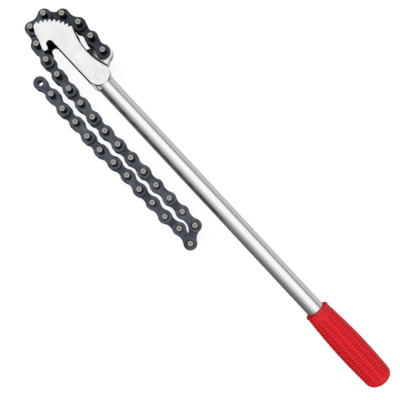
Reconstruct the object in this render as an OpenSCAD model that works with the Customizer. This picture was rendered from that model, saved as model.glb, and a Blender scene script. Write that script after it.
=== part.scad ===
// Chain pipe wrench: a tube handle with a soft grip, two toothed jaw plates and a bush chain.
// Millimetres. +X runs along the handle to the grip, +Z is square to the jaw plates, and the
// origin is on the tube's axis, where the tube meets the jaw plates' round ends.

/* [Chain] */
// Distance between neighbouring pin centres
chain_pitch = 19.05; // [18.9:0.05:19.2]
// Radius of a link plate's round ends
plate_end_r = 7.2; // [6.4:0.1:7.4]
// Half the height of a link plate at its waist
plate_waist = 4.7; // [4.2:0.1:5.2]
// Thickness of a link plate
plate_t = 1.9; // [1.5:0.1:2]
// Diameter of a pin
pin_d = 5.96; // [5:0.02:6.1]
// Radial clearance of a pin in its bush
pin_clearance = 0.07; // [0.02:0.01:0.1]
// Wall of a bush
bush_wall = 1.2; // [0.8:0.1:1.6]
// Room between the two inner plates of a link
inner_room = 3; // [2.6:0.1:3.4]
// Side play between neighbouring plates
side_play = 0.2; // [0.1:0.05:0.3]
// How far a pin stands out past the outer plates
pin_reach = 4.5; // [3.5:0.1:5]
// Depth of the punch mark in a pin's end
punch_depth = 0.6; // [0.3:0.1:1]

/* [Jaws] */
// Thickness of each jaw plate
jaw_t = 3.5; // [2.5:0.1:4]
// Room between the two jaw plates
jaw_room = 12; // [11.6:0.1:13]
// Radius of the toothed edge, at the tips
tooth_arc_r = 37.5; // [36.5:0.1:38]
// Teeth along the edge
tooth_count = 8; // [6:1:10]
// Depth of a tooth
tooth_depth = 2.8; // [1.5:0.1:3]
// Radius of the jaw plates' round ends on the shank
jaw_end_r = 11.9; // [11:0.1:12.5]
// Radius of the hollow edge on the chain's side
waist_r = 66; // [64:0.5:68]
// Width of the hook's slot for a pin
slot_w = 7.4; // [6.6:0.1:7.6]
// Radius of the hook's tip
hook_tip_r = 2.9; // [2.2:0.1:3.2]
// Diameter of the flush rivet through the jaw plates
rivet_d = 10; // [7:0.5:11]

/* [Shank] */
// Radius of the lug around the chain's first pin
lug_r = 9; // [8:0.1:9.5]
// Length of the shank's stem inside the tube
stem_len = 45; // [25:1:80]

/* [Handle] */
// Outside diameter of the tube
tube_d = 19.05; // [18:0.05:21]
// Wall of the tube
tube_wall = 2; // [1.4:0.1:3]
// Length of the tube
tube_len = 410; // [380:1:460]

/* [Grip] */
// Length of the grip
grip_len = 97.5; // [80:0.5:130]
// Diameter at the grip's mouth
grip_mouth_d = 26.2; // [23.6:0.1:28]
// Diameter at the grip's belly
grip_belly_d = 31; // [28:0.1:34]
// Diameter at the grip's closed end, before its rounding
grip_end_d = 29; // [26:0.1:32]
// Thickness of the grip's closed end
grip_end_wall = 6; // [3:0.5:10]
// Ribs around the grip
rib_count = 13; // [9:1:17]
// Height of a rib
rib_h = 0.7; // [0.3:0.1:0.9]

/* [Hidden] */
$fn = 64;
// Gap left in joints that are pressed or riveted together
press_gap = 0.02;
// Extra length of a cut past the faces that it opens
cut_past = 1;

tube_r = tube_d / 2;
pin_r = pin_d / 2;
pin_chamfer = 0.25;
punch_r = 1.2;
bush_bore_r = pin_r + pin_clearance;
bush_r = bush_bore_r + bush_wall;

// Half widths of the chain's layers, from its middle plane out
inner_half = inner_room / 2 + plate_t;
outer_near = inner_half + side_play;
outer_half = outer_near + plate_t;
pin_half = outer_half + pin_reach;
jaw_near = jaw_room / 2;
jaw_far = jaw_near + jaw_t;

// Where the parts of the jaw's outline are centred
tooth_arc_c = [-59.2, -22.9];
tooth_arc_from = 163.1;
tooth_arc_to = 100;
waist_y = 8.4;
waist_c = [-37, waist_y + waist_r];
waist_from = -113.4;
waist_to = -68.8;
jaw_end_gap = 0.4;
jaw_end_c = [-jaw_end_gap - jaw_end_r, 0.8];
jaw_end_from = 88;
jaw_edge_y = jaw_end_c[1] - jaw_end_r;
slot_c = [-68.6, jaw_edge_y - slot_w / 2];
nose_c = [-89.2, -11.7];
nose_r = 5;
hook_tip_c = [-68.7, -21.5];
hook_back = [[-74.4, -22.4], [-79.4, -20.4], [-86.6, -18.8]];
rivet_c = [-10, 1.2];

// The shank's core between the jaw plates, and the web that joins it to the lug
core_step = 0.6;
core_half = tube_r - core_step;
core_t = jaw_room - 2 * press_gap;
neck_len = 7;
neck_gap = 0.1;
core_tip = -46;
core_top = 7.4;
web_front = [-42, core_top];
web_back = [[-15.6, 14.6], [-10.4, core_top]];

// The chain's first pin, in the lug, and the way that each link points from there
anchor = [-27.6, 20.6];
lay = [
    178, 179, 199, 227, 273, 337, 349, 354,
    356, 357, 357, 359, 361, 361, 360, 360,
    362, 361, 360, 303, 174, 187, 179, 182,
    178, 183, 185, 180, 177, 181, 175, 182
];

// Each outer link is followed by an inner one
link_pairs = len(lay) / 2;

// Places along the grip
grip_start = tube_len + grip_end_wall - grip_len;
lip_len = 3;
lip_chamfer = 0.6;
belly_at = 54.5;
grip_end_round = 7;
grip_corner = grip_len - grip_end_round;

// The ribs: where they run, the share of the way round that they take, and where the first one starts
rib_from = 9;
rib_end_gap = 0.5;
rib_to = grip_corner - rib_end_gap;
rib_share = 4 / 7;
rib_first = 90;

function turned(a) = [cos(a), sin(a)];
function pin_at(k) = k == 0 ? anchor : pin_at(k - 1) + chain_pitch * turned(lay[k - 1]);
function arc(c, r, from, to, steps) =
    [for (i = [0:steps]) c + r * turned(from + (to - from) * i / steps)];
function two_digits(n) = n < 10 ? str("0", n) : str(n);
function outer_plates_name(n) = str("outer_link_", two_digits(n), "_plates");
function outer_pins_name(n) = str("outer_link_", two_digits(n), "_pins");
function inner_link_name(n) = str("inner_link_", two_digits(n));

// The toothed edge: each tooth rises slowly and drops steeply, as a one-way bite
function tooth_angle() = (tooth_arc_to - tooth_arc_from) / (tooth_count + 0.6);
function toothed_edge() = [
    for (i = [0:tooth_count - 1], part = [0:2])
        let (a = tooth_arc_from + tooth_angle() * (i + [0.25, 0.62, 0.8][part]),
             r = tooth_arc_r - [0, 0, tooth_depth][part])
            tooth_arc_c + r * turned(a)
];

function jaw_outline() = concat(
    toothed_edge(),
    arc(tooth_arc_c, tooth_arc_r, tooth_arc_from + tooth_angle() * (tooth_count + 0.25), tooth_arc_to, 2),
    arc(waist_c, waist_r, waist_from, waist_to, 20),
    arc(jaw_end_c, jaw_end_r, jaw_end_from, -90, 24),
    arc(slot_c, slot_w / 2, 90, 250, 12),
    arc(hook_tip_c, hook_tip_r, 60, -110, 10),
    hook_back,
    arc(nose_c, nose_r, 260, 170, 8)
);

// The outline of a link plate: two round ends with a tangent hollow on each side
module plate_outline() {
    half_pitch = chain_pitch / 2;
    hollow_r = (half_pitch^2 + plate_waist^2 - plate_end_r^2) / (2 * (plate_end_r - plate_waist));
    share = plate_end_r / (plate_end_r + hollow_r);
    tangent = [half_pitch * share, (plate_waist + hollow_r) * share];
    for (x = [0, chain_pitch]) translate([x, 0]) circle(plate_end_r);
    difference() {
        translate([tangent[0], -tangent[1]]) square([chain_pitch - 2 * tangent[0], 2 * tangent[1]]);
        for (s = [-1, 1]) translate([half_pitch, s * (plate_waist + hollow_r)]) circle(hollow_r);
    }
}

module link_plate(hole_r, z) {
    translate([0, 0, z]) linear_extrude(plate_t) difference() {
        plate_outline();
        for (x = [0, chain_pitch]) translate([x, 0]) circle(hole_r);
    }
}

// Places a link's own frame, with its first pin at the origin and +X along the link
module at_link(k) {
    translate([pin_at(k)[0], pin_at(k)[1], 0]) rotate([0, 0, lay[k]]) children();
}

module outer_plates(n) {
    color("#3a4048") at_link(2 * (n - 1)) for (z = [-outer_half, outer_near]) {
        link_plate(pin_r + press_gap, z);
    }
}

// A pin with a chamfer and a punch mark at each end
module chain_pin() {
    rotate_extrude() polygon([
        [0, -pin_half + punch_depth], [punch_r, -pin_half], [pin_r - pin_chamfer, -pin_half],
        [pin_r, -pin_half + pin_chamfer], [pin_r, pin_half - pin_chamfer], [pin_r - pin_chamfer, pin_half],
        [punch_r, pin_half], [0, pin_half - punch_depth]
    ]);
}

module outer_pins(n) {
    color("#b9aea4") at_link(2 * (n - 1)) for (x = [0, chain_pitch]) {
        translate([x, 0, 0]) chain_pin();
    }
}

module bush() {
    difference() {
        cylinder(r = bush_r, h = 2 * inner_half, center = true);
        cylinder(r = bush_bore_r, h = 2 * (inner_half + cut_past), center = true);
    }
}

module inner_link(n) {
    color("#343a42") at_link(2 * n - 1) {
        for (z = [-inner_half, inner_room / 2]) link_plate(bush_r + press_gap, z);
        for (x = [0, chain_pitch]) translate([x, 0, 0]) bush();
    }
}

module jaw_plate(z) {
    translate([0, 0, z]) linear_extrude(jaw_t) difference() {
        polygon(jaw_outline());
        translate(rivet_c) circle(rivet_d / 2 + press_gap);
    }
}

module front_jaw() {
    color("#e9e9ea") jaw_plate(jaw_near);
}

module rear_jaw() {
    color("#e9e9ea") jaw_plate(-jaw_far);
}

module jaw_rivet() {
    color("#dededf") translate([rivet_c[0], rivet_c[1], 0])
        cylinder(d = rivet_d, h = 2 * jaw_far, center = true);
}

// The round end of the shank, flush with the tube and cut away where the jaw plates lie on it
module shank_neck() {
    difference() {
        rotate([0, 90, 0]) translate([0, 0, -neck_len]) cylinder(r = tube_r, h = neck_len - press_gap);
        for (z = [-jaw_far - cut_past, core_t / 2]) {
            translate([jaw_end_c[0], jaw_end_c[1], z])
                cylinder(r = jaw_end_r + neck_gap, h = jaw_far + cut_past - core_t / 2);
        }
    }
}

// The core between the jaw plates, which carries the chain's lug and plugs into the tube
module shank() {
    color("#cfcfd1") difference() {
        union() {
            linear_extrude(core_t, center = true)
                translate([core_tip, -core_half]) square([-core_tip - press_gap, core_half + core_top]);
            shank_neck();
            linear_extrude(2 * inner_half, center = true) {
                translate(anchor) circle(lug_r);
                polygon(concat(
                    [anchor + lug_r * turned(160), anchor + lug_r * turned(0)], web_back, [web_front]
                ));
            }
            rotate([0, 90, 0]) translate([0, 0, -cut_past])
                cylinder(r = tube_r - tube_wall - press_gap, h = stem_len + cut_past);
        }
        translate([anchor[0], anchor[1], 0])
            cylinder(r = bush_bore_r, h = jaw_room + cut_past, center = true);
        translate([rivet_c[0], rivet_c[1], 0])
            cylinder(r = rivet_d / 2 + press_gap, h = jaw_room + cut_past, center = true);
    }
}

module handle_tube() {
    color("#d4d4d6") rotate([0, 90, 0]) difference() {
        cylinder(r = tube_r, h = tube_len);
        translate([0, 0, -cut_past]) cylinder(r = tube_r - tube_wall, h = tube_len + 2 * cut_past);
    }
}

// The grip's radius at a distance from its mouth, over its ribs
function grip_r(x) = let (mouth = grip_mouth_d / 2, belly = grip_belly_d / 2, end = grip_end_d / 2)
    x <= lip_len ? mouth
    : x <= belly_at ? mouth + (belly - mouth) * sin(90 * (x - lip_len) / (belly_at - lip_len))
    : belly - (belly - end) * (1 - cos(90 * (x - belly_at) / (grip_corner - belly_at)));
function places(from, to, steps) = [for (i = [0:steps]) from + (to - from) * i / steps];

// Half of the grip's section, from its mouth to its closed end
function grip_profile() = concat(
    [[grip_r(0) - lip_chamfer, 0], [grip_r(0), lip_chamfer]],
    [for (x = places(lip_len, belly_at, 6)) [grip_r(x), x]],
    [for (x = places(belly_at, grip_corner, 4)) if (x > belly_at) [grip_r(x), x]],
    [for (a = places(75, 0, 5))
        [grip_end_d / 2 - grip_end_round * (1 - sin(a)), grip_corner + grip_end_round * cos(a)]],
    [[0, grip_len]]
);

// The hollows between the grip's ribs
module rib_gaps() {
    rib_turn = 360 / rib_count;
    clear_r = grip_belly_d / 2 + cut_past;
    intersection() {
        rotate_extrude() polygon(concat(
            [for (x = places(rib_from, belly_at, 4)) [grip_r(x) - rib_h, x]],
            [for (x = places(belly_at, rib_to, 3)) if (x > belly_at) [grip_r(x) - rib_h, x]],
            [[clear_r, rib_to], [clear_r, rib_from]]
        ));
        linear_extrude(grip_len) for (i = [1:rib_count]) {
            from = rib_first + rib_turn * (i + rib_share);
            to = rib_first + rib_turn * (i + 1);
            polygon(concat(arc([0, 0], tube_r, from, to, 1), arc([0, 0], 2 * clear_r, to, from, 1)));
        }
    }
}

module grip() {
    color("#d01c24") translate([grip_start, 0, 0]) rotate([0, 90, 0]) difference() {
        rotate_extrude() polygon(concat([[0, 0]], grip_profile()));
        translate([0, 0, -cut_past])
            cylinder(r = tube_r + press_gap, h = grip_len - grip_end_wall + cut_past);
        rib_gaps();
    }
}

handle_tube();
grip();
shank();
front_jaw();
rear_jaw();
jaw_rivet();
for (n = [1:link_pairs]) {
    outer_plates(n);
    outer_pins(n);
    inner_link(n);
}
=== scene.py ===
# Chain pipe wrench: finishes, grip, floor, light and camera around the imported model.
# Metres, in the model's own frame: +X along the handle to the grip, +Z square to the jaw plates.
import math

import bmesh
import bpy
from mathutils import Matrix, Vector


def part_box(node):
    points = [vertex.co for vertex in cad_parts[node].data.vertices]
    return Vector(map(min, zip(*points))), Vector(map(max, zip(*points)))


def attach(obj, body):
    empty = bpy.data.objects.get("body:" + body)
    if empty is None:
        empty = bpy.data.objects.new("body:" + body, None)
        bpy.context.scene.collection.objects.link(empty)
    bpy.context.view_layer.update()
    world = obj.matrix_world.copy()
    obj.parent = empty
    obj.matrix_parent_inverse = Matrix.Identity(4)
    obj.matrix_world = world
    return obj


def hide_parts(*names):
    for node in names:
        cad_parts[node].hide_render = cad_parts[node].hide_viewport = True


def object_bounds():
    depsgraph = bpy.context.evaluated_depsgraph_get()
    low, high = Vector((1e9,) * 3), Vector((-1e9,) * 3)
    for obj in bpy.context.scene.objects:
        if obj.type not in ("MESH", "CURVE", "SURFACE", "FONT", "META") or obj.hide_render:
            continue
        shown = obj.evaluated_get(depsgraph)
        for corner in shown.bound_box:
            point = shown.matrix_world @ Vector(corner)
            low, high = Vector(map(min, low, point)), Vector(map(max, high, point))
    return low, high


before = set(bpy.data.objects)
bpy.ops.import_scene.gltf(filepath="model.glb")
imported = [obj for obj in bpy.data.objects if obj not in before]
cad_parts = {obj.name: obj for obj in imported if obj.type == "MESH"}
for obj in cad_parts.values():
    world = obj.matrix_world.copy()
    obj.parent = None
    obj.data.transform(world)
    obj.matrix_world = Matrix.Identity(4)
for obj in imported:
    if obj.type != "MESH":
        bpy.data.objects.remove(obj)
cad_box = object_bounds()

MM = 0.001
FULL_TURN = math.radians(360)

# The arc of the jaw's hollow edge, beside the chain
HOLLOW_CENTRE = Vector((-37, 74.4, 0)) * MM
HOLLOW_R = 66 * MM

# Noise seldom leaves this range, so tones and gloss run across it
NOISE_LOW = 0.3
NOISE_HIGH = 0.7

# A mix node's sockets go by number, because its colours and its values share their names
SHARE = 0
FIRST_COLOUR = 6
SECOND_COLOUR = 7
MIXED_COLOUR = 2
FIRST_VALUE = 2
SECOND_VALUE = 3
MIXED_VALUE = 0


# Colour and nodes
def linear(code):
    """An sRGB hex colour as linear red, green, blue and alpha."""
    parts = [int(code[i:i + 2], 16) / 255 for i in (1, 3, 5)]
    return [p / 12.92 if p <= 0.04045 else ((p + 0.055) / 1.055) ** 2.4 for p in parts] + [1.0]


def grey(share):
    """An even grey for a ramp that carries a share and not a colour."""
    return (share, share, share, 1)


def set_inputs(tree, node, inputs):
    """Links each input to a socket, or sets it to a plain value."""
    for name, value in inputs.items():
        if isinstance(value, bpy.types.NodeSocket):
            tree.links.new(value, node.inputs[name])
        else:
            node.inputs[name].default_value = value


def add_node(tree, kind, inputs=None, **settings):
    """Adds a node, sets its properties, and sets or links its inputs."""
    node = tree.nodes.new(kind)
    for name, value in settings.items():
        setattr(node, name, value)
    set_inputs(tree, node, inputs or {})
    return node


def set_stops(node, stops):
    """Gives a colour ramp its stops, each a place and a linear colour."""
    ramp = node.color_ramp
    while len(ramp.elements) < len(stops):
        ramp.elements.new(1.0)
    for element, (place, colour) in zip(ramp.elements, stops):
        element.position = place
        element.color = colour


def start_material(name):
    """A new material, with its tree and its shader."""
    material = bpy.data.materials.new(name)
    material.use_nodes = True
    tree = material.node_tree
    return material, tree, tree.nodes["Principled BSDF"]


def face_share(tree, low, high):
    """One on faces that are square to Z, and zero on walls and edges that turn away from it."""
    normal = add_node(tree, "ShaderNodeNewGeometry").outputs["Normal"]
    parts = add_node(tree, "ShaderNodeSeparateXYZ", {"Vector": normal})
    upright = add_node(tree, "ShaderNodeMath", {0: parts.outputs["Z"]}, operation="ABSOLUTE")
    return add_node(
        tree, "ShaderNodeMapRange",
        {"Value": upright.outputs["Value"], "From Min": low, "From Max": high},
    ).outputs["Result"]


def flat_distance(tree, place, centre):
    """How far a place is from an upright line through a centre."""
    flat = add_node(tree, "ShaderNodeVectorMath", {0: place, 1: (1, 1, 0)}, operation="MULTIPLY")
    return add_node(
        tree, "ShaderNodeVectorMath", {0: flat.outputs["Vector"], 1: centre}, operation="DISTANCE"
    ).outputs["Value"]


# Materials
def polished_chrome():
    """Chrome plate over a drawn and polished tube: a soft bright mirror with faint lines along it."""
    # Real drawing lines are finer: these are coarse enough to show
    line_across = 1.2 * MM
    line_along = 60 * MM
    material, tree, shader = start_material("polished_chrome_tube")
    place = add_node(tree, "ShaderNodeTexCoord").outputs["Object"]
    stretch = add_node(
        tree, "ShaderNodeMapping",
        {"Vector": place, "Scale": (1 / line_along, 1 / line_across, 1 / line_across)},
    )
    lines = add_node(
        tree, "ShaderNodeTexNoise",
        {"Vector": stretch.outputs["Vector"], "Scale": 1.0, "Detail": 4.0, "Roughness": 0.6},
    ).outputs["Fac"]
    tint = add_node(tree, "ShaderNodeValToRGB", {"Fac": lines})
    set_stops(tint, [(NOISE_LOW, linear("#e6e6e7")), (NOISE_HIGH, linear("#f3f3f3"))])
    gloss = add_node(
        tree, "ShaderNodeMapRange",
        {"Value": lines, "From Min": NOISE_LOW, "From Max": NOISE_HIGH, "To Min": 0.2, "To Max": 0.3},
    )
    bump = add_node(tree, "ShaderNodeBump", {"Height": lines, "Strength": 0.06, "Distance": 0.05 * MM})
    set_inputs(
        tree, shader,
        {
            "Base Color": tint.outputs["Color"],
            "Metallic": 1.0,
            "Roughness": gloss.outputs["Result"],
            "Normal": bump.outputs["Normal"],
        },
    )
    return material


def satin_nickel(name, bright_from):
    """Nickel plate over a blank finished by grinding: nearly white faces with fine grinding lines and a
    soft sheen.
    Painted shade darkens the walls, a line along the hollow edge and the faces inside the throat,
    and stops past a place along X, beyond which the jaw is bright all over."""
    # Real grinding lines are finer: these are coarse enough to show
    line_across = 0.9 * MM
    line_along = 25 * MM
    cloud = 14 * MM
    # Heights over the jaw's middle, and then distances from the hollow's arc
    throat_dark = 6.3 * MM
    throat_bright = 6.8 * MM
    edge_dark = 0.9 * MM
    edge_bright = 1.6 * MM
    buff_fade = 4 * MM
    # How squarely a surface looks along Z
    wall_until = 0.3
    face_from = 0.7
    material, tree, shader = start_material(name)
    place = add_node(tree, "ShaderNodeTexCoord").outputs["Object"]
    stretch = add_node(
        tree, "ShaderNodeMapping",
        {"Vector": place, "Scale": (1 / line_along, 1 / line_across, 1 / line_across)},
    )
    lines = add_node(
        tree, "ShaderNodeTexNoise",
        {"Vector": stretch.outputs["Vector"], "Scale": 1.0, "Detail": 3.0, "Roughness": 0.55},
    ).outputs["Fac"]
    clouds = add_node(
        tree, "ShaderNodeTexNoise",
        {"Vector": place, "Scale": 1 / cloud, "Detail": 3.0, "Roughness": 0.5},
    ).outputs["Fac"]
    tint = add_node(tree, "ShaderNodeValToRGB", {"Fac": clouds})
    set_stops(tint, [(NOISE_LOW, linear("#dfdfe1")), (NOISE_HIGH, linear("#ededed"))])
    parts = add_node(tree, "ShaderNodeSeparateXYZ", {"Vector": place})
    height = add_node(tree, "ShaderNodeMath", {0: parts.outputs["Z"]}, operation="ABSOLUTE")
    outer = add_node(
        tree, "ShaderNodeMapRange",
        {"Value": height.outputs["Value"], "From Min": throat_dark, "From Max": throat_bright},
    )
    off_edge = add_node(
        tree, "ShaderNodeMapRange",
        {
            "Value": flat_distance(tree, place, HOLLOW_CENTRE),
            "From Min": HOLLOW_R + edge_dark,
            "From Max": HOLLOW_R + edge_bright,
        },
    )
    face = add_node(
        tree, "ShaderNodeMath",
        {0: off_edge.outputs["Result"], 1: face_share(tree, wall_until, face_from)},
        operation="MULTIPLY",
    )
    unshaded_face = add_node(
        tree, "ShaderNodeMath",
        {0: outer.outputs["Result"], 1: face.outputs["Value"]},
        operation="MULTIPLY",
    )
    # Past this place along X the painted shade stops
    past_shade = add_node(
        tree, "ShaderNodeMapRange",
        {"Value": parts.outputs["X"], "From Min": bright_from - buff_fade, "From Max": bright_from},
    )
    bright = add_node(
        tree, "ShaderNodeMath",
        {0: unshaded_face.outputs["Value"], 1: past_shade.outputs["Result"]},
        operation="MAXIMUM",
    )
    # Painted shade: the walls, a line along the hollow edge and the throat's inner faces go near-black
    tone_with_shade = add_node(
        tree, "ShaderNodeMix",
        {
            SHARE: bright.outputs["Value"],
            FIRST_COLOUR: linear("#303236"),
            SECOND_COLOUR: tint.outputs["Color"],
        },
        data_type="RGBA",
    )
    gloss = add_node(
        tree, "ShaderNodeMapRange",
        {"Value": lines, "From Min": NOISE_LOW, "From Max": NOISE_HIGH, "To Min": 0.26, "To Max": 0.38},
    )
    bump = add_node(tree, "ShaderNodeBump", {"Height": lines, "Strength": 0.08, "Distance": 0.05 * MM})
    set_inputs(
        tree, shader,
        {
            "Base Color": tone_with_shade.outputs[MIXED_COLOUR],
            "Metallic": 1.0,
            "Roughness": gloss.outputs["Result"],
            "Normal": bump.outputs["Normal"],
        },
    )
    return material


def plated_forging():
    """Nickel plate over a tumbled forging: greyer than the jaw, with a soft uneven surface.
    Painted shade lies in a line along the jaw's hollow edge, and spreads where the chain leaves it."""
    lump = 4 * MM
    grit = 0.8 * MM
    line_full = 1.9 * MM
    line_end = 3.4 * MM
    corner = Vector((-42, 12, 0)) * MM
    spread_full = 5 * MM
    spread_end = 14 * MM
    spread_power = 2.0
    material, tree, shader = start_material("plated_forging")
    place = add_node(tree, "ShaderNodeTexCoord").outputs["Object"]
    lumps = add_node(
        tree, "ShaderNodeTexNoise",
        {"Vector": place, "Scale": 1 / lump, "Detail": 3.0, "Roughness": 0.5},
    ).outputs["Fac"]
    grain = add_node(
        tree, "ShaderNodeTexNoise",
        {"Vector": place, "Scale": 1 / grit, "Detail": 2.0, "Roughness": 0.5},
    ).outputs["Fac"]
    tint = add_node(tree, "ShaderNodeValToRGB", {"Fac": lumps})
    set_stops(tint, [(NOISE_LOW, linear("#d6d7d9")), (NOISE_HIGH, linear("#ebebed"))])
    past_edge = add_node(
        tree, "ShaderNodeMath",
        {0: flat_distance(tree, place, HOLLOW_CENTRE), 1: HOLLOW_R},
        operation="SUBTRACT",
    )
    from_edge = add_node(tree, "ShaderNodeMath", {0: past_edge.outputs["Value"]}, operation="ABSOLUTE")
    off_line = add_node(
        tree, "ShaderNodeMapRange",
        {"Value": from_edge.outputs["Value"], "From Min": line_full, "From Max": line_end},
    )
    off_corner = add_node(
        tree, "ShaderNodeMapRange",
        {"Value": flat_distance(tree, place, corner), "From Min": spread_full, "From Max": spread_end},
    )
    fading = add_node(
        tree, "ShaderNodeMath", {0: off_corner.outputs["Result"], 1: spread_power}, operation="POWER"
    )
    out_of_shade = add_node(
        tree, "ShaderNodeMath",
        {0: off_line.outputs["Result"], 1: fading.outputs["Value"]},
        operation="MINIMUM",
    )
    # Painted shade: near-black along the jaw's hollow edge and in the corner where the chain leaves it
    tone_with_shade = add_node(
        tree, "ShaderNodeMix",
        {
            SHARE: out_of_shade.outputs["Value"],
            FIRST_COLOUR: linear("#2a2b2d"),
            SECOND_COLOUR: tint.outputs["Color"],
        },
        data_type="RGBA",
    )
    bump = add_node(tree, "ShaderNodeBump", {"Height": grain, "Strength": 0.15, "Distance": 0.1 * MM})
    set_inputs(
        tree, shader,
        {
            "Base Color": tone_with_shade.outputs[MIXED_COLOUR],
            "Metallic": 1.0,
            "Roughness": 0.36,
            "Normal": bump.outputs["Normal"],
        },
    )
    return material


def blued_steel(name, shaded_tones, lit_tones):
    """Stamped and blued spring steel: dark slate with an oily sheen, clouded and lightly scuffed.
    Each tone is a dark and a light colour: painted shade picks the shaded tones on the lug's side of the
    jaw, lit ones past it.
    Painted shade lies dark and matt on the walls and on the faces between the plates; the outer faces
    are left unshaded."""
    cloud = 9 * MM
    scuff = 1.1 * MM
    shaded_from = 14 * MM
    lit_from = -14 * MM
    shaded_below = -1 * MM
    unshaded_above = 2.4 * MM
    oil_roughness = 0.6
    material, tree, shader = start_material(name)
    place = add_node(tree, "ShaderNodeTexCoord").outputs["Object"]
    clouds = add_node(
        tree, "ShaderNodeTexNoise",
        {"Vector": place, "Scale": 1 / cloud, "Detail": 4.0, "Roughness": 0.6},
    ).outputs["Fac"]
    scuffs = add_node(
        tree, "ShaderNodeTexNoise",
        {"Vector": place, "Scale": 1 / scuff, "Detail": 3.0, "Roughness": 0.65},
    ).outputs["Fac"]
    tint = add_node(tree, "ShaderNodeValToRGB", {"Fac": clouds})
    set_stops(tint, [(NOISE_LOW, linear(shaded_tones[0])), (NOISE_HIGH, linear(shaded_tones[1]))])
    pale = add_node(tree, "ShaderNodeValToRGB", {"Fac": clouds})
    set_stops(pale, [(NOISE_LOW, linear(lit_tones[0])), (NOISE_HIGH, linear(lit_tones[1]))])
    parts = add_node(tree, "ShaderNodeSeparateXYZ", {"Vector": place})
    # Painted shade: the plates go darker towards +Y, the lug's side of the jaw
    shade_by_y = add_node(
        tree, "ShaderNodeMapRange",
        {"Value": parts.outputs["Y"], "From Min": lit_from, "From Max": shaded_from},
    )
    base = add_node(
        tree, "ShaderNodeMix",
        {
            SHARE: shade_by_y.outputs["Result"],
            FIRST_COLOUR: pale.outputs["Color"],
            SECOND_COLOUR: tint.outputs["Color"],
        },
        data_type="RGBA",
    )
    rub = add_node(tree, "ShaderNodeValToRGB", {"Fac": scuffs})
    set_stops(rub, [(0.58, grey(0)), (0.75, grey(0.35))])
    worn = add_node(
        tree, "ShaderNodeMix",
        {
            SHARE: rub.outputs["Color"],
            FIRST_COLOUR: base.outputs[MIXED_COLOUR],
            SECOND_COLOUR: linear("#7a828c"),
        },
        data_type="RGBA",
    )
    # The height of a face over the chain's middle, times how squarely it looks away from there
    normal = add_node(tree, "ShaderNodeNewGeometry").outputs["Normal"]
    facing = add_node(tree, "ShaderNodeSeparateXYZ", {"Vector": normal})
    outward = add_node(
        tree, "ShaderNodeMath", {0: parts.outputs["Z"], 1: facing.outputs["Z"]}, operation="MULTIPLY"
    )
    unshaded = add_node(
        tree, "ShaderNodeMapRange",
        {"Value": outward.outputs["Value"], "From Min": shaded_below, "From Max": unshaded_above},
    )
    # Painted shade: walls and low faces between the plates take a dark colour, matt and not metallic
    tone_with_shade = add_node(
        tree, "ShaderNodeMix",
        {
            SHARE: unshaded.outputs["Result"],
            FIRST_COLOUR: linear("#34383f"),
            SECOND_COLOUR: worn.outputs[MIXED_COLOUR],
        },
        data_type="RGBA",
    )
    sheen = add_node(
        tree, "ShaderNodeMapRange",
        {"Value": clouds, "From Min": NOISE_LOW, "From Max": NOISE_HIGH, "To Min": 0.26, "To Max": 0.4},
    )
    gloss = add_node(
        tree, "ShaderNodeMix",
        {
            SHARE: unshaded.outputs["Result"],
            FIRST_VALUE: oil_roughness,
            SECOND_VALUE: sheen.outputs["Result"],
        },
        data_type="FLOAT",
    )
    bump = add_node(tree, "ShaderNodeBump", {"Height": scuffs, "Strength": 0.12, "Distance": 0.08 * MM})
    set_inputs(
        tree, shader,
        {
            "Base Color": tone_with_shade.outputs[MIXED_COLOUR],
            "Metallic": unshaded.outputs["Result"],
            "Roughness": gloss.outputs[MIXED_VALUE],
            "Normal": bump.outputs["Normal"],
        },
    )
    return material


def turned_steel():
    """Turned and tempered pin steel: warm grey ends, with painted shade on the sides, and darker slopes
    in the punch marks.
    """
    speck = 1.4 * MM
    mark = 0.55
    material, tree, shader = start_material("turned_steel_pin")
    place = add_node(tree, "ShaderNodeTexCoord").outputs["Object"]
    specks = add_node(
        tree, "ShaderNodeTexNoise",
        {"Vector": place, "Scale": 1 / speck, "Detail": 3.0, "Roughness": 0.6},
    ).outputs["Fac"]
    tint = add_node(tree, "ShaderNodeValToRGB", {"Fac": specks})
    set_stops(tint, [(NOISE_LOW, linear("#918b85")), (NOISE_HIGH, linear("#b2aba4"))])
    # By how far a face is turned up: the side, the chamfer, the punch mark and the flat end
    turned = add_node(tree, "ShaderNodeValToRGB", {"Fac": face_share(tree, 0.0, 1.0)})
    set_stops(
        turned,
        [
            (0.4, grey(0)),
            (0.65, grey(1)),
            (0.8, grey(1)),
            (0.86, grey(mark)),
            (0.93, grey(mark)),
            (0.98, grey(1)),
        ],
    )
    # Painted shade: the pins' sides go dark; the punch marks' slopes are darker too
    tone_with_shade = add_node(
        tree, "ShaderNodeMix",
        {
            SHARE: turned.outputs["Color"],
            FIRST_COLOUR: linear("#4f423a"),
            SECOND_COLOUR: tint.outputs["Color"],
        },
        data_type="RGBA",
    )
    gloss = add_node(
        tree, "ShaderNodeMapRange",
        {"Value": specks, "From Min": NOISE_LOW, "From Max": NOISE_HIGH, "To Min": 0.28, "To Max": 0.44},
    )
    bump = add_node(tree, "ShaderNodeBump", {"Height": specks, "Strength": 0.1, "Distance": 0.05 * MM})
    set_inputs(
        tree, shader,
        {
            "Base Color": tone_with_shade.outputs[MIXED_COLOUR],
            "Metallic": 1.0,
            "Roughness": gloss.outputs["Result"],
            "Normal": bump.outputs["Normal"],
        },
    )
    return material


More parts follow.
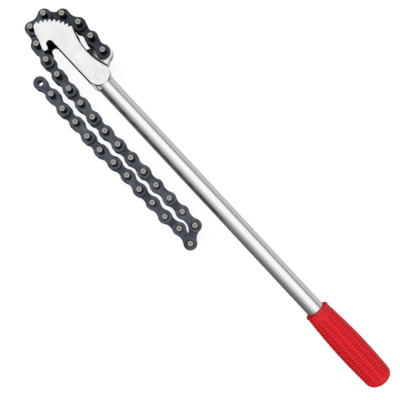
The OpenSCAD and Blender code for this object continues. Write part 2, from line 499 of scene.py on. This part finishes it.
def moulded_vinyl():
    """Dip-moulded soft vinyl: saturated red with a low sheen, slightly pebbled and clouded.
    The grip's own attribute says how far a place is raised: raised places are paler, and the grooves are
    darker with painted shade."""
    pebble = 0.7 * MM
    cloud = 11 * MM
    material, tree, shader = start_material("moulded_red_vinyl")
    place = add_node(tree, "ShaderNodeTexCoord").outputs["Object"]
    pebbles = add_node(
        tree, "ShaderNodeTexNoise",
        {"Vector": place, "Scale": 1 / pebble, "Detail": 2.0, "Roughness": 0.5},
    ).outputs["Fac"]
    clouds = add_node(
        tree, "ShaderNodeTexNoise",
        {"Vector": place, "Scale": 1 / cloud, "Detail": 3.0, "Roughness": 0.5},
    ).outputs["Fac"]
    # Painted shade: the grooves take this darker red, the pads a paler one
    groove = add_node(tree, "ShaderNodeValToRGB", {"Fac": clouds})
    set_stops(groove, [(NOISE_LOW, linear("#c00812")), (NOISE_HIGH, linear("#cd0c17"))])
    raised = add_node(tree, "ShaderNodeAttribute", attribute_name="raised")
    tint = add_node(
        tree, "ShaderNodeMix",
        {
            SHARE: raised.outputs["Fac"],
            FIRST_COLOUR: groove.outputs["Color"],
            SECOND_COLOUR: linear("#e02a36"),
        },
        data_type="RGBA",
    )
    gloss = add_node(
        tree, "ShaderNodeMapRange",
        {"Value": pebbles, "From Min": NOISE_LOW, "From Max": NOISE_HIGH, "To Min": 0.36, "To Max": 0.5},
    )
    bump = add_node(tree, "ShaderNodeBump", {"Height": pebbles, "Strength": 0.12, "Distance": 0.1 * MM})
    set_inputs(
        tree, shader,
        {
            "Base Color": tint.outputs[MIXED_COLOUR],
            "Roughness": gloss.outputs["Result"],
            "IOR": 1.53,
            "Specular IOR Level": 0.15,
            "Normal": bump.outputs["Normal"],
        },
    )
    return material


def pale_floor():
    """A matt white table that glows a little, so that shadows on it stay faint."""
    material, tree, shader = start_material("pale_floor")
    set_inputs(
        tree, shader,
        {
            "Base Color": linear("#6c6c6c"),
            "Roughness": 0.9,
            "Specular IOR Level": 0.0,
            "Emission Color": linear("#ffffff"),
            "Emission Strength": 0.88,
        },
    )
    return material


def pale_backdrop():
    """Matt backdrop paper, lit evenly."""
    material, tree, shader = start_material("pale_backdrop")
    set_inputs(
        tree, shader,
        {
            "Base Color": linear("#000000"),
            "Specular IOR Level": 0.0,
            "Emission Color": linear("#f0f0f0"),
            "Emission Strength": 1.0,
        },
    )
    return material


# Edges and shading
SHARP_FROM = math.radians(35)
NODE_EASED_FROM = math.radians(40)
PAD_EASED_FROM = math.radians(25)
PAD_EASE = 0.22 * MM
CORNER_WELD = 0.001 * MM
SEAM_WELD = 0.01 * MM


def smooth_shading_group():
    """Smooth shading, kept sharp at steep edges."""
    group = bpy.data.node_groups.new("smooth_shading", "GeometryNodeTree")
    for way in ("INPUT", "OUTPUT"):
        group.interface.new_socket("Geometry", in_out=way, socket_type="NodeSocketGeometry")
    start = add_node(group, "NodeGroupInput")
    faces = add_node(
        group, "GeometryNodeSetShadeSmooth",
        {"Geometry": start.outputs["Geometry"], "Shade Smooth": True},
        domain="FACE",
    )
    angle = add_node(group, "GeometryNodeInputMeshEdgeAngle")
    steep = add_node(
        group, "FunctionNodeCompare",
        {0: angle.outputs["Unsigned Angle"], 1: SHARP_FROM},
        operation="GREATER_THAN",
    )
    edges = add_node(
        group, "GeometryNodeSetShadeSmooth",
        {
            "Geometry": faces.outputs["Geometry"],
            "Selection": steep.outputs["Result"],
            "Shade Smooth": False,
        },
        domain="EDGE",
    )
    add_node(group, "NodeGroupOutput", {"Geometry": edges.outputs["Geometry"]})
    return group


SMOOTH_SHADING = smooth_shading_group()


def ease_edges(piece, width, steep_from):
    """Rounds a piece's steep edges by a small width, and shades it smooth."""
    bevel = piece.modifiers.new("eased_edges", "BEVEL")
    bevel.width = width
    bevel.segments = 2
    bevel.limit_method = "ANGLE"
    bevel.angle_limit = steep_from
    smooth = piece.modifiers.new("smooth_shading", "NODES")
    smooth.node_group = SMOOTH_SHADING


def finish_node(node, material, edge):
    """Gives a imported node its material, and rounds its edges by a small width."""
    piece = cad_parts[node]
    piece.data.materials.clear()
    piece.data.materials.append(material)
    weld = piece.modifiers.new("joined_corners", "WELD")
    weld.merge_threshold = CORNER_WELD
    ease_edges(piece, edge, NODE_EASED_FROM)


def make_piece(name, bm, material):
    """Turns a bmesh into an object at the origin, of one material."""
    mesh = bpy.data.meshes.new(name)
    bm.to_mesh(mesh)
    bm.free()
    mesh.materials.append(material)
    piece = bpy.data.objects.new(name, mesh)
    bpy.context.scene.collection.objects.link(piece)
    return piece


# The grip, as a moulded sleeve with rings of small pads
grip_low, grip_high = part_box("grip")
GRIP_START = grip_low[0]
GRIP_LEN = grip_high[0] - grip_low[0]
GRIP_BORE = 9.56 * MM
BORE_MARGIN = 1 * MM
END_WALL = 6 * MM
GRIP_FLOOR = GRIP_LEN - END_WALL
MOUTH_R = 13.1 * MM
MOUTH_CHAMFER = 0.5 * MM
LIP_LEN = 3 * MM
LIP_ROUND = 1.1 * MM
LIP_SWELL = 0.4 * MM
COLLAR_SINK = 0.15 * MM
COLLAR_PLACES = (3.4 * MM, 5 * MM, 7 * MM, 8.4 * MM)
BELLY_R = (grip_high[1] - grip_low[1]) / 2
BELLY_AT = 54.5 * MM
END_R = 14.5 * MM
END_ROUND = 7 * MM

# The pads, and the steps of the sleeve's turn that a pad takes and that come with each pad
RING_COUNT = 25
RING_START = 9 * MM
RING_PITCH = 3.28 * MM
PAD_LEN = 1.9 * MM
PAD_HEIGHT = 0.7 * MM
PAD_TAPER = 0.86
PAD_STEPS = 4
STEPS_PER_PAD = 7
PADS_ROUND = 13
STEPS_ROUND = PADS_ROUND * STEPS_PER_PAD
STEP = FULL_TURN / STEPS_ROUND

# Past the last ring, the wall climbs from the grooves to the smooth end
RINGS_END = RING_START + (RING_COUNT - 1) * RING_PITCH + PAD_LEN
CLIMB_START = RINGS_END + 0.2 * MM
CLIMB_END = RINGS_END + 0.8 * MM

# Shares of the paler tone that raised places have: the grooves keep the darker red, which is painted
# shade
GROOVE_TONE = 0.0
SMOOTH_TONE = 0.4
PAD_TONE = 1.0


def grip_radius(along):
    """The sleeve's outside radius at a distance from its mouth, to the tops of the pads."""
    if along <= LIP_LEN:
        return MOUTH_R
    if along <= BELLY_AT:
        share = (along - LIP_LEN) / (BELLY_AT - LIP_LEN)
        return MOUTH_R + (BELLY_R - MOUTH_R) * math.sin(share * math.pi / 2)
    share = (along - BELLY_AT) / (GRIP_LEN - END_ROUND - BELLY_AT)
    return BELLY_R - (BELLY_R - END_R) * (1 - math.cos(min(share, 1) * math.pi / 2))


def grip_section():
    """Half of the sleeve's section, from the bottom of its bore, round its mouth, to its closed end."""
    section = [
        (GRIP_FLOOR, 0),
        (GRIP_FLOOR, GRIP_BORE),
        (MOUTH_CHAMFER, GRIP_BORE),
        (0, GRIP_BORE + MOUTH_CHAMFER),
    ]
    lip_r = MOUTH_R + LIP_SWELL - LIP_ROUND
    for degrees in range(0, 151, 30):
        turn = math.radians(degrees)
        section.append((LIP_ROUND - LIP_ROUND * math.cos(turn), lip_r + LIP_ROUND * math.sin(turn)))
    section += [(x, grip_radius(x) - COLLAR_SINK) for x in COLLAR_PLACES]
    for ring in range(RING_COUNT):
        start = RING_START + ring * RING_PITCH
        section += [(x, grip_radius(x) - PAD_HEIGHT) for x in (start, start + PAD_LEN)]
    section.append((CLIMB_START, grip_radius(CLIMB_START) - PAD_HEIGHT))
    section.append((CLIMB_END, grip_radius(CLIMB_END)))
    corner = GRIP_LEN - END_ROUND
    for degrees in range(0, 91, 15):
        turn = math.radians(degrees)
        section.append((corner + END_ROUND * math.sin(turn), END_R - END_ROUND * (1 - math.cos(turn))))
    section.append((GRIP_LEN, 0))
    return section


def in_ring(along):
    """Whether a distance from the mouth is in a ring of pads."""
    ring, rest = divmod(along - RING_START, RING_PITCH)
    return 0 <= ring < RING_COUNT and rest < PAD_LEN


def pad_faces(bm):
    """The faces of the sleeve's outside that the pads stand on."""
    pads = []
    for face in bm.faces:
        middle = face.calc_center_median()
        outside = math.hypot(middle.y, middle.z) > GRIP_BORE + BORE_MARGIN
        column = int((math.atan2(middle.z, middle.y) % FULL_TURN) / STEP)
        in_pad = column % STEPS_PER_PAD < PAD_STEPS
        if outside and in_pad and in_ring(middle.x - GRIP_START):
            pads.append(face)
    return pads


def make_grip(material):
    """Spins the sleeve, and draws its pads out of the wall with tapered sides."""
    bm = bmesh.new()
    points = [bm.verts.new((GRIP_START + x, r, 0)) for x, r in grip_section()]
    edges = [bm.edges.new(pair) for pair in zip(points, points[1:])]
    bmesh.ops.spin(
        bm, geom=points + edges, cent=(GRIP_START, 0, 0), axis=(1, 0, 0), angle=FULL_TURN,
        steps=STEPS_ROUND, use_merge=True,
    )
    bmesh.ops.remove_doubles(bm, verts=bm.verts[:], dist=SEAM_WELD)
    bmesh.ops.recalc_face_normals(bm, faces=bm.faces[:])

    pads = pad_faces(bm)
    raised = bm.verts.layers.float.new("raised")
    for corner in bm.verts:
        along = corner.co.x - GRIP_START
        grooved = RING_START < along < (CLIMB_START + CLIMB_END) / 2
        corner[raised] = GROOVE_TONE if grooved else SMOOTH_TONE
    top = bmesh.ops.extrude_face_region(bm, geom=pads)["geom"]
    bmesh.ops.delete(bm, geom=[f for f in pads if f.is_valid], context="FACES")
    for corner in [v for v in top if isinstance(v, bmesh.types.BMVert)]:
        along = corner.co.x - GRIP_START
        ring = round((along - RING_START - PAD_LEN / 2) / RING_PITCH)
        middle = RING_START + ring * RING_PITCH + PAD_LEN / 2
        turn = math.atan2(corner.co.z, corner.co.y) % FULL_TURN
        pad = round((turn / STEP - PAD_STEPS / 2) / STEPS_PER_PAD)
        pad_turn = (pad * STEPS_PER_PAD + PAD_STEPS / 2) * STEP
        turn = pad_turn + (turn - pad_turn) * PAD_TAPER
        along = middle + (along - middle) * PAD_TAPER
        out = grip_radius(along)
        corner[raised] = PAD_TONE
        corner.co = Vector((GRIP_START + along, out * math.cos(turn), out * math.sin(turn)))

    piece = make_piece("grip_sleeve", bm, material)
    ease_edges(piece, PAD_EASE, PAD_EASED_FROM)
    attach(piece, "wrench")
    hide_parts("grip")


# Finishes
CHROME = polished_chrome()
FRONT_NICKEL = satin_nickel("satin_nickel_front", bright_from=20 * MM)
REAR_NICKEL = satin_nickel("satin_nickel_rear", bright_from=-14 * MM)
FORGING = plated_forging()
# Painted shade: inner plates take darker tones than outer ones, as they lie lower in the outer plates'
# shade
OUTER_BLUED = blued_steel("blued_outer_plate", shaded_tones=("#2b3037", "#3d434c"), lit_tones=("#353b43", "#5e656f"))
INNER_BLUED = blued_steel("blued_inner_plate", shaded_tones=("#292e35", "#3d434b"), lit_tones=("#31363e", "#4f555e"))
TURNED = turned_steel()
VINYL = moulded_vinyl()

finish_node("handle_tube", CHROME, edge=0.3 * MM)
finish_node("shank", FORGING, edge=0.5 * MM)
finish_node("front_jaw", FRONT_NICKEL, edge=0.35 * MM)
finish_node("rear_jaw", REAR_NICKEL, edge=0.35 * MM)
finish_node("jaw_rivet", FRONT_NICKEL, edge=0.3 * MM)
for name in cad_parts:
    if name.endswith("_pins"):
        finish_node(name, TURNED, edge=0.15 * MM)
    # inner_link_16, the last inner link, lies out of that painted shade and takes the outer plates'
    # lighter tones
    elif name.startswith("outer_link_") or name == "inner_link_16":
        finish_node(name, OUTER_BLUED, edge=0.25 * MM)
    elif name.startswith("inner_link_"):
        finish_node(name, INNER_BLUED, edge=0.25 * MM)
make_grip(VINYL)


# Floor, light and camera
def make_floor():
    """A wide table just under the wrench."""
    half_side = 4.0
    gap = 0.2 * MM
    bm = bmesh.new()
    bmesh.ops.create_grid(bm, x_segments=1, y_segments=1, size=half_side)
    bmesh.ops.translate(bm, verts=bm.verts[:], vec=(0, 0, cad_box[0][2] - gap))
    floor = make_piece("floor", bm, pale_floor())
    # The polished parts mirror the studio below the table's edge, not the bare table
    floor.visible_glossy = False
    floor.visible_diffuse = False


def make_backdrop():
    """A pale dome behind the table, for the eye alone: the tent behind it gives the light."""
    dome_r = 3.6
    bm = bmesh.new()
    bmesh.ops.create_uvsphere(bm, u_segments=48, v_segments=24, radius=dome_r)
    bmesh.ops.reverse_faces(bm, faces=bm.faces[:])
    dome = make_piece("backdrop", bm, pale_backdrop())
    dome.visible_glossy = False
    dome.visible_diffuse = False
    dome.visible_shadow = False


def make_tent():
    """A soft tent of light along the handle: white overhead, a grey strip on one side, dark low down."""
    # Degrees from straight up, turning about the handle towards +Y, and the brightness there
    tent = [
        (-180, 0.03), (-140, 0.12), (-106, 0.17), (-89, 0.20), (-73, 0.30), (-59, 0.44),
        (-46, 0.62), (-33, 0.84), (-18, 1.06), (-8, 1.12), (38, 1.12), (50, 0.20),
        (61, 0.22), (71, 0.62), (145, 0.62), (180, 0.03),
    ]
    world = bpy.data.worlds.new("studio")
    bpy.context.scene.world = world
    world.use_nodes = True
    tree = world.node_tree
    way = add_node(tree, "ShaderNodeTexCoord").outputs["Generated"]
    parts = add_node(tree, "ShaderNodeSeparateXYZ", {"Vector": way})
    turn = add_node(
        tree, "ShaderNodeMath", {0: parts.outputs["Y"], 1: parts.outputs["Z"]}, operation="ARCTAN2"
    )
    share = add_node(
        tree, "ShaderNodeMapRange",
        {"Value": turn.outputs["Value"], "From Min": -math.pi, "From Max": math.pi},
    )
    ramp = add_node(tree, "ShaderNodeValToRGB", {"Fac": share.outputs["Result"]})
    set_stops(ramp, [((degrees + 180) / 360, grey(light)) for degrees, light in tent])
    set_inputs(tree, tree.nodes["Background"], {"Color": ramp.outputs["Color"], "Strength": 1.0})


def make_sun(name, energy, spread, way):
    """A soft lamp that shines one way and doesn't show in the polished parts, which mirror the tent."""
    lamp = bpy.data.lights.new(name, "SUN")
    lamp.energy = energy
    lamp.angle = math.radians(spread)
    sun = bpy.data.objects.new(name, lamp)
    bpy.context.scene.collection.objects.link(sun)
    sun.rotation_euler = Vector(way).to_track_quat("-Z", "Y").to_euler()
    sun.visible_glossy = False


def make_camera():
    """A camera nearly straight above, with the handle running down to the right."""
    lens = bpy.data.cameras.new("camera")
    camera = bpy.data.objects.new("camera", lens)
    bpy.context.scene.collection.objects.link(camera)
    camera.location = (0.18289, -0.04686, 0.41595)
    camera.rotation_euler = (math.radians(1.0), 0, math.radians(47.13))
    lens.sensor_width = 36.0
    lens.lens = 36.07
    lens.shift_x = 0.015
    lens.shift_y = 0.095
    lens.clip_start = 0.01
    lens.clip_end = 50
    bpy.context.scene.camera = camera


make_floor()
make_backdrop()
make_tent()
make_sun("key", energy=0.9, spread=18, way=(0.75, 0.05, -0.8))
make_sun("fill", energy=0.55, spread=60, way=(0.0, 0.9, -0.4))
make_camera()
bpy.context.scene.view_settings.view_transform = "Standard"
